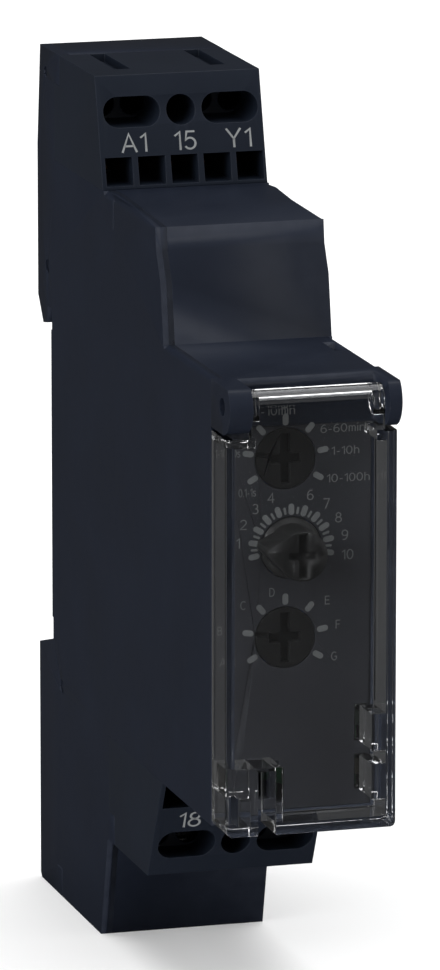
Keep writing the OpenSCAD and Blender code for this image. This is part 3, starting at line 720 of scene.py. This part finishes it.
SIX = [arc(0.31, 0.3, 0.24, 0.27, 0, 360), arc(0.38, 0.42, 0.31, 0.53, 185, 68)]
SIGNS = {
    "0": [arc(0.3, 0.5, 0.25, 0.46, 0, 360)],
    "1": [[(0.1, 0.74), (0.34, 0.94), (0.34, 0.0)]],
    "2": [arc(0.3, 0.7, 0.24, 0.26, 165, -40) + [(0.04, 0.05), (0.58, 0.05)]],
    "3": [arc(0.28, 0.73, 0.21, 0.23, 150, -85), arc(0.28, 0.28, 0.25, 0.24, 85, -150)],
    "4": [[(0.44, 0.0), (0.44, 0.94), (0.04, 0.3), (0.6, 0.3)]],
    "5": [[(0.54, 0.95), (0.17, 0.95), (0.1, 0.5)] + arc(0.3, 0.33, 0.25, 0.29, 130, -150)],
    "6": SIX,
    "7": [[(0.04, 0.95), (0.56, 0.95), (0.22, 0.0)]],
    "8": [arc(0.3, 0.74, 0.2, 0.21, 0, 360), arc(0.3, 0.28, 0.25, 0.24, 0, 360)],
    "9": [[(0.6 - x, 1 - y) for x, y in stroke] for stroke in SIX],
    "A": [[(0.0, 0.0), (0.33, 0.97), (0.66, 0.0)], [(0.12, 0.33), (0.54, 0.33)]],
    "B": [[(0.08, 0.05), (0.08, 0.95), (0.34, 0.95)] + arc(0.34, 0.73, 0.2, 0.22, 90, -90)
          + arc(0.36, 0.28, 0.22, 0.23, 90, -90) + [(0.08, 0.05)], [(0.08, 0.51), (0.34, 0.51)]],
    "C": [arc(0.36, 0.5, 0.31, 0.46, 48, 312)],
    "D": [[(0.08, 0.05), (0.08, 0.95), (0.3, 0.95)] + arc(0.3, 0.5, 0.3, 0.45, 90, -90) + [(0.08, 0.05)]],
    "E": [[(0.58, 0.95), (0.08, 0.95), (0.08, 0.05), (0.6, 0.05)], [(0.08, 0.51), (0.54, 0.51)]],
    "F": [[(0.56, 0.95), (0.08, 0.95), (0.08, 0.0)], [(0.08, 0.51), (0.48, 0.51)]],
    "G": [arc(0.37, 0.5, 0.32, 0.46, 48, 318) + [(0.64, 0.46), (0.4, 0.46)]],
    "Y": [[(0.0, 1.0), (0.33, 0.46), (0.66, 1.0)], [(0.33, 0.46), (0.33, 0.0)]],
    "h": [[(0.08, 1.0), (0.08, 0.0)], arc(0.28, 0.44, 0.2, 0.24, 180, 0) + [(0.48, 0.0)]],
    "i": [[(0.08, 0.7), (0.08, 0.0)], [(0.08, 0.88), (0.08, 1.0)]],
    "m": [[(0.08, 0.7), (0.08, 0.0)], arc(0.22, 0.5, 0.14, 0.18, 180, 0) + [(0.36, 0.0)],
          arc(0.5, 0.5, 0.14, 0.18, 180, 0) + [(0.64, 0.0)]],
    "n": [[(0.08, 0.7), (0.08, 0.0)], arc(0.28, 0.46, 0.2, 0.22, 180, 0) + [(0.48, 0.0)]],
    "s": [arc(0.24, 0.52, 0.18, 0.15, 20, 250) + arc(0.22, 0.2, 0.2, 0.16, 70, -160)],
    "-": [[(0.06, 0.36), (0.34, 0.36)]],
    ".": [[(0.08, 0.0), (0.08, 0.11)]],
}
SIGN_GAP = 0.15


def ribbon(bm, points, half):
    """Adds one stroke as a closed ribbon of ink, half its width to each side."""
    points = [Vector((x, y, 0)) for x, y in points]
    closed = (points[0] - points[-1]).length < 0.001
    if closed:
        points = points[:-1]
    rings = []
    for k, point in enumerate(points):
        before = point - points[k - 1] if k or closed else points[1] - point
        after = points[(k + 1) % len(points)] - point if k < len(points) - 1 or closed else before
        ahead = (before.normalized() + after.normalized()).normalized()
        side = Vector((-ahead.y, ahead.x, 0))
        reach = half / max(0.6, ahead.dot(before.normalized()))
        corners = [(side, 0), (side, 1), (-side, 1), (-side, 0)]
        rings.append([bm.verts.new(point + way * reach + Vector((0, 0, level))) for way, level in corners])
    pairs = list(zip(rings, rings[1:] + rings[:1]))
    for near, far in pairs if closed else pairs[:-1]:
        for k in range(4):
            bm.faces.new((near[k], near[(k + 1) % 4], far[(k + 1) % 4], far[k]))
    if not closed:
        bm.faces.new(rings[0][::-1])
        bm.faces.new(rings[-1])


def word_mesh(text, height, align, squeeze, weight=0.1):
    """A word as closed ribbons of ink, height tall and centred on the origin."""
    bm = bmesh.new()
    reach = 0.0
    for place, sign in enumerate(text):
        if sign == "1" and place:
            reach -= 0.05
        for stroke in SIGNS[sign]:
            ribbon(bm, [(x + reach, y) for x, y in stroke], weight / 2)
        reach += max(x for stroke in SIGNS[sign] for x, _ in stroke) + SIGN_GAP
    width = reach - SIGN_GAP
    shift = {"LEFT": 0.0, "CENTER": -width / 2, "RIGHT": -width}[align]
    bmesh.ops.recalc_face_normals(bm, faces=bm.faces)
    mesh = bpy.data.meshes.new("word")
    bm.to_mesh(mesh)
    bm.free()
    mesh.transform(Matrix.Translation((shift, -0.5, -0.5)))
    mesh.transform(Matrix.Diagonal((height * squeeze, height, INK, 1)))
    return mesh


def face_place(x, y, z, up):
    """Matrix that lays a word at x, y, z on a face that holds the X axis and the direction up."""
    right = Vector((1, 0, 0))
    out = right.cross(up)
    turn = Matrix((right, up, out)).transposed().to_4x4()
    return Matrix.Translation(Vector((x, y, z)) + out * INK / 2) @ turn


def print_words(name, words, ink):
    """One piece of ink from (text, height, align, squeeze, place) rows."""
    bm = bmesh.new()
    for text, height, align, squeeze, place in words:
        mesh = word_mesh(text, height, align, squeeze)
        mesh.transform(place)
        bm.from_mesh(mesh)
    mesh = bpy.data.meshes.new(name)
    bm.to_mesh(mesh)
    bm.free()
    mesh.materials.append(ink)
    piece = new_piece(name, mesh)
    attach(piece, "root")
    return piece


print(len(SIGNS), "signs drawn")

# %% Terminal numbers
TERMINAL_CAP = 1.95 * MM
TERMINAL_SQUEEZE = 1.18
UPPER_EDGE = Vector((0, -17.44, 45.0)) * MM
UPPER_FOOT = Vector((0, -20.54, 33.7)) * MM
UPPER_DOWN = 6.98 * MM
LOWER_EDGE = Vector((0, -42.4, -23.0)) * MM
LOWER_FOOT = Vector((0, -36.9, -34.1)) * MM
LOWER_DOWN = 5.2 * MM


def slanted_words(texts, edge, foot, down, spots):
    """Words in a row on a slanted face, a distance down from its upper edge."""
    up = (edge - foot).normalized()
    at = edge - up * down
    return [(text, TERMINAL_CAP, "CENTER", TERMINAL_SQUEEZE, face_place(x * MM, at.y, at.z, up))
            for text, x in zip(texts, spots)]


upper = slanted_words(("A1", "15", "Y1"), UPPER_EDGE, UPPER_FOOT, UPPER_DOWN, (-5.1, 0.2, 6.0))
lower = slanted_words(("18", "16", "A2"), LOWER_EDGE, LOWER_FOOT, LOWER_DOWN, (-5.3, 0.2, 5.6))
terminal_numbers = print_words("terminal_numbers", upper + lower, finish["case_ink"])
print("terminal numbers have", len(terminal_numbers.data.polygons), "faces")

# %% Dial numbers
panel_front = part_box("front_panel")[0].y
dial_centre = {j["child"]: Vector(j["pos_m"]) for j in frame["joints"] if j["child"].endswith("_dial")}
PANEL_UP = Vector((0, 0, 1))
FINE_CAP = 1.02 * MM
FINE_REACH = 5.55 * MM
FINE_SQUEEZE = 1.15
NARROW_SQUEEZE = 0.78
WIDE_SQUEEZE = 1.35
RANGE_CAP = 0.82 * MM
FUNCTION_CAP = 0.88 * MM


def on_panel(text, cap, centre, dx, dz, align="CENTER", squeeze=1.0):
    return (text, cap, align, squeeze,
            face_place(centre.x + dx * MM, panel_front, centre.z + dz * MM, PANEL_UP))


fine = dial_centre["fine_dial"]
words = []
for number in (1, 2, 3, 4, 6, 7, 8, 9, 10):
    angle = math.radians(190 - 20 * number + (2 if number < 5 else 0))
    reach = FINE_REACH / MM + (0.25 if number == 10 else 0)
    words.append(on_panel(str(number), FINE_CAP, fine, reach * math.cos(angle), reach * math.sin(angle),
                          squeeze=FINE_SQUEEZE))

RANGE_WORDS = [("0.1-1s", -3.05, -3.2, "RIGHT"), ("1-10s", -4.65, 0.8, "RIGHT"),
               ("6-60s", -3.3, 3.1, "RIGHT"), ("1-10min", -1.1, 4.75, "CENTER"),
               ("6-60min", 3.55, 2.75, "LEFT"),
               ("1-10h", 4.62, 0.5, "LEFT"), ("10-100h", 4.15, -2.25, "LEFT")]
for text, dx, dz, align in RANGE_WORDS:
    squeeze = NARROW_SQUEEZE if align == "RIGHT" else WIDE_SQUEEZE
    words.append(on_panel(text, RANGE_CAP, dial_centre["range_dial"], dx, dz, align, squeeze))

FUNCTION_WORDS = [("A", -5.4, -2.2), ("B", -5.75, 1.0), ("C", -4.35, 3.5), ("D", -1.4, 4.65),
                  ("E", 4.3, 3.5), ("F", 5.4, 1.0), ("G", 5.0, -2.2)]
for text, dx, dz in FUNCTION_WORDS:
    words.append(on_panel(text, FUNCTION_CAP, dial_centre["function_dial"], dx, dz))
dial_numbers = print_words("dial_numbers", words, finish["panel_ink"])
print(len(words), "words on the panel")

# %% [markdown]
# ## Dial scales
# The ticks around a dial are one short bar with round ends, repeated at equal angles. That is what
# Geometry Nodes do well: one tick is drawn, points are laid out by count, and each point turns its
# tick by its index. The same tree then makes the two selector scales and both rows of the fine scale.

# %% Helpers for Geometry Nodes
def geometry_tree(name, inputs):
    """A tree with named inputs {title: (socket type, default)} and one geometry output."""
    tree = bpy.data.node_groups.new(name, "GeometryNodeTree")
    for title, (kind, default) in inputs.items():
        socket = tree.interface.new_socket(title, in_out="INPUT", socket_type=kind)
        if default is not None:
            socket.default_value = default
    tree.interface.new_socket("Geometry", in_out="OUTPUT", socket_type="NodeSocketGeometry")
    return tree, tree.nodes.new("NodeGroupInput"), tree.nodes.new("NodeGroupOutput")


def close_tree(tree, enter, leave, geometry):
    """Ends a tree with Realize Instances and Set Material."""
    real = tree.nodes.new("GeometryNodeRealizeInstances")
    paint = tree.nodes.new("GeometryNodeSetMaterial")
    tree.links.new(geometry, real.inputs[0])
    tree.links.new(real.outputs[0], paint.inputs["Geometry"])
    tree.links.new(enter.outputs["Material"], paint.inputs["Material"])
    tree.links.new(paint.outputs[0], leave.inputs["Geometry"])


def grow(name, tree, turn, **values):
    """Runs a tree with the given inputs and keeps its result as a plain mesh, turned into place."""
    piece = new_piece(name, bpy.data.meshes.new(name))
    modifier = piece.modifiers.new("grow", "NODES")
    modifier.node_group = tree
    for item in tree.interface.items_tree:
        if item.in_out == "INPUT":
            modifier[item.identifier] = values[item.name.replace(" ", "_")]
    mesh = bpy.data.meshes.new_from_object(piece.evaluated_get(bpy.context.evaluated_depsgraph_get()))
    piece.modifiers.clear()
    mesh.transform(turn)
    piece.data = mesh
    return piece


# %% The tree of ticks
def tick_tree():
    numbers = {"Count": ("NodeSocketInt", 7), "Start": ("NodeSocketFloat", 0.0),
               "Step": ("NodeSocketFloat", 0.1),
               "Inner": ("NodeSocketFloat", 0.003), "Outer": ("NodeSocketFloat", 0.004),
               "Width": ("NodeSocketFloat", 0.0005), "Thickness": ("NodeSocketFloat", 0.00002),
               "Material": ("NodeSocketMaterial", None)}
    tree, enter, leave = geometry_tree("dial_ticks", numbers)
    links = tree.links
    get = enter.outputs
    length = maths(tree, "SUBTRACT", get["Outer"], get["Inner"])
    middle = maths(tree, "MULTIPLY", maths(tree, "ADD", get["Outer"], get["Inner"]), 0.5)
    outline = tree.nodes.new("GeometryNodeCurvePrimitiveQuadrilateral")
    links.new(length, outline.inputs["Width"])
    links.new(get["Width"], outline.inputs["Height"])
    fillet = tree.nodes.new("GeometryNodeFilletCurve")
    fillet.mode = "POLY"
    fillet.inputs["Count"].default_value = 6
    links.new(outline.outputs[0], fillet.inputs["Curve"])
    links.new(maths(tree, "MULTIPLY", get["Width"], 0.499), fillet.inputs["Radius"])
    fill = tree.nodes.new("GeometryNodeFillCurve")
    fill.mode = "NGONS"
    links.new(fillet.outputs[0], fill.inputs["Curve"])
    raise_up = tree.nodes.new("GeometryNodeExtrudeMesh")
    links.new(fill.outputs[0], raise_up.inputs["Mesh"])
    links.new(get["Thickness"], raise_up.inputs["Offset Scale"])
    base = tree.nodes.new("GeometryNodeFlipFaces")
    links.new(fill.outputs[0], base.inputs[0])
    join = tree.nodes.new("GeometryNodeJoinGeometry")
    links.new(raise_up.outputs["Mesh"], join.inputs[0])
    links.new(base.outputs[0], join.inputs[0])
    weld = tree.nodes.new("GeometryNodeMergeByDistance")
    weld.inputs["Distance"].default_value = MERGE
    links.new(join.outputs[0], weld.inputs[0])
    shift = tree.nodes.new("GeometryNodeTransform")
    offset = tree.nodes.new("ShaderNodeCombineXYZ")
    links.new(middle, offset.inputs["X"])
    links.new(weld.outputs[0], shift.inputs["Geometry"])
    links.new(offset.outputs[0], shift.inputs["Translation"])
    points = tree.nodes.new("GeometryNodePoints")
    links.new(get["Count"], points.inputs["Count"])
    index = tree.nodes.new("GeometryNodeInputIndex")
    angle = maths(tree, "ADD", get["Start"], maths(tree, "MULTIPLY", index.outputs[0], get["Step"]))
    spin = tree.nodes.new("ShaderNodeCombineXYZ")
    links.new(angle, spin.inputs["Z"])
    repeat = tree.nodes.new("GeometryNodeInstanceOnPoints")
    links.new(points.outputs[0], repeat.inputs["Points"])
    links.new(shift.outputs[0], repeat.inputs["Instance"])
    links.new(spin.outputs[0], repeat.inputs["Rotation"])
    close_tree(tree, enter, leave, repeat.outputs[0])
    return tree


dial_ticks = tick_tree()
print("tree", dial_ticks.name, "has", len(dial_ticks.nodes), "nodes")


# %% Ticks around the three dials
def scale_ring(name, centre, count, start, step, inner, outer, width):
    """One ring of printed ticks on the panel around a dial's axis, angles in degrees."""
    place = face_place(centre.x, panel_front, centre.z, PANEL_UP)
    ring = grow(name, dial_ticks, place, Count=count, Start=math.radians(start), Step=math.radians(step),
                Inner=inner * MM, Outer=outer * MM, Width=width * MM, Thickness=INK,
                Material=finish["panel_ink"])
    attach(ring, "root")
    print(name, "has", len(ring.data.polygons), "faces")


scale_ring("range_scale", dial_centre["range_dial"], 7, -30, 40, 3.3, 4.45, 0.6)
scale_ring("function_scale", dial_centre["function_dial"], 7, -30, 40, 3.3, 4.45, 0.6)
scale_ring("fine_scale", dial_centre["fine_dial"], 11, -10, 20, 3.3, 4.45, 0.58)
scale_ring("fine_scale_halves", dial_centre["fine_dial"], 10, 0, 20, 3.4, 4.15, 0.24)

# %% [markdown]
# ## Coils
# The clip's return spring and the relay's winding are both a wire along a helix. A Spiral curve swept
# with a round profile gives an even wire that stays closed at both ends.

# %% The tree of coils
def coil_tree():
    numbers = {"Turns": ("NodeSocketFloat", 6.0), "Radius": ("NodeSocketFloat", 0.001),
               "Height": ("NodeSocketFloat", 0.01), "Wire": ("NodeSocketFloat", 0.0002),
               "Steps": ("NodeSocketInt", 24), "Sides": ("NodeSocketInt", 10),
               "Material": ("NodeSocketMaterial", None)}
    tree, enter, leave = geometry_tree("wire_coil", numbers)
    links = tree.links
    get = enter.outputs
    helix = tree.nodes.new("GeometryNodeCurveSpiral")
    for title, socket in (("Resolution", "Steps"), ("Rotations", "Turns"), ("Start Radius", "Radius"),
                          ("End Radius", "Radius"), ("Height", "Height")):
        links.new(get[socket], helix.inputs[title])
    profile = tree.nodes.new("GeometryNodeCurvePrimitiveCircle")
    links.new(get["Sides"], profile.inputs["Resolution"])
    links.new(get["Wire"], profile.inputs["Radius"])
    sweep = tree.nodes.new("GeometryNodeCurveToMesh")
    sweep.inputs["Fill Caps"].default_value = True
    links.new(helix.outputs[0], sweep.inputs["Curve"])
    links.new(profile.outputs[0], sweep.inputs["Profile Curve"])
    even = tree.nodes.new("GeometryNodeSetShadeSmooth")
    links.new(sweep.outputs[0], even.inputs[0])
    close_tree(tree, enter, leave, even.outputs[0])
    return tree


wire_coil = coil_tree()
print("tree", wire_coil.name, "has", len(wire_coil.nodes), "nodes")

# %% Clip spring
SPRING_WIRE = 0.22 * MM
SPRING_TURNS = 6
low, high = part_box("clip_spring")
spring_centre = (low + high) / 2
spring = grow("clip_spring_coil", wire_coil,
              Matrix.Translation((spring_centre.x, spring_centre.y, low.z + SPRING_WIRE)),
              Turns=SPRING_TURNS, Radius=(high.x - low.x) / 2 - SPRING_WIRE,
              Height=high.z - low.z - 2 * SPRING_WIRE,
              Wire=SPRING_WIRE, Steps=28, Sides=10, Material=finish["spring_steel"])
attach(spring, "root")
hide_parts("clip_spring")
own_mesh(spring)
print("spring is", round((high.z - low.z) / MM, 2), "mm long at rest")

# %% Relay winding
WINDING_WIRE = 0.13 * MM
low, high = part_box("relay_winding")
winding_length = high.y - low.y
winding_turn = Matrix.Translation(((low.x + high.x) / 2, low.y + WINDING_WIRE, (low.z + high.z) / 2))
winding = grow("relay_winding_turns", wire_coil, winding_turn @ Matrix.Rotation(math.radians(-90), 4, "X"),
               Turns=(winding_length - 2 * WINDING_WIRE) / (2 * WINDING_WIRE), Wire=WINDING_WIRE,
               Radius=(high.x - low.x) / 2 - WINDING_WIRE, Height=winding_length - 2 * WINDING_WIRE,
               Steps=24, Sides=6, Material=finish["coil_wire"])
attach(winding, "root")
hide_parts("relay_winding")
print("winding has", len(winding.data.polygons), "faces")
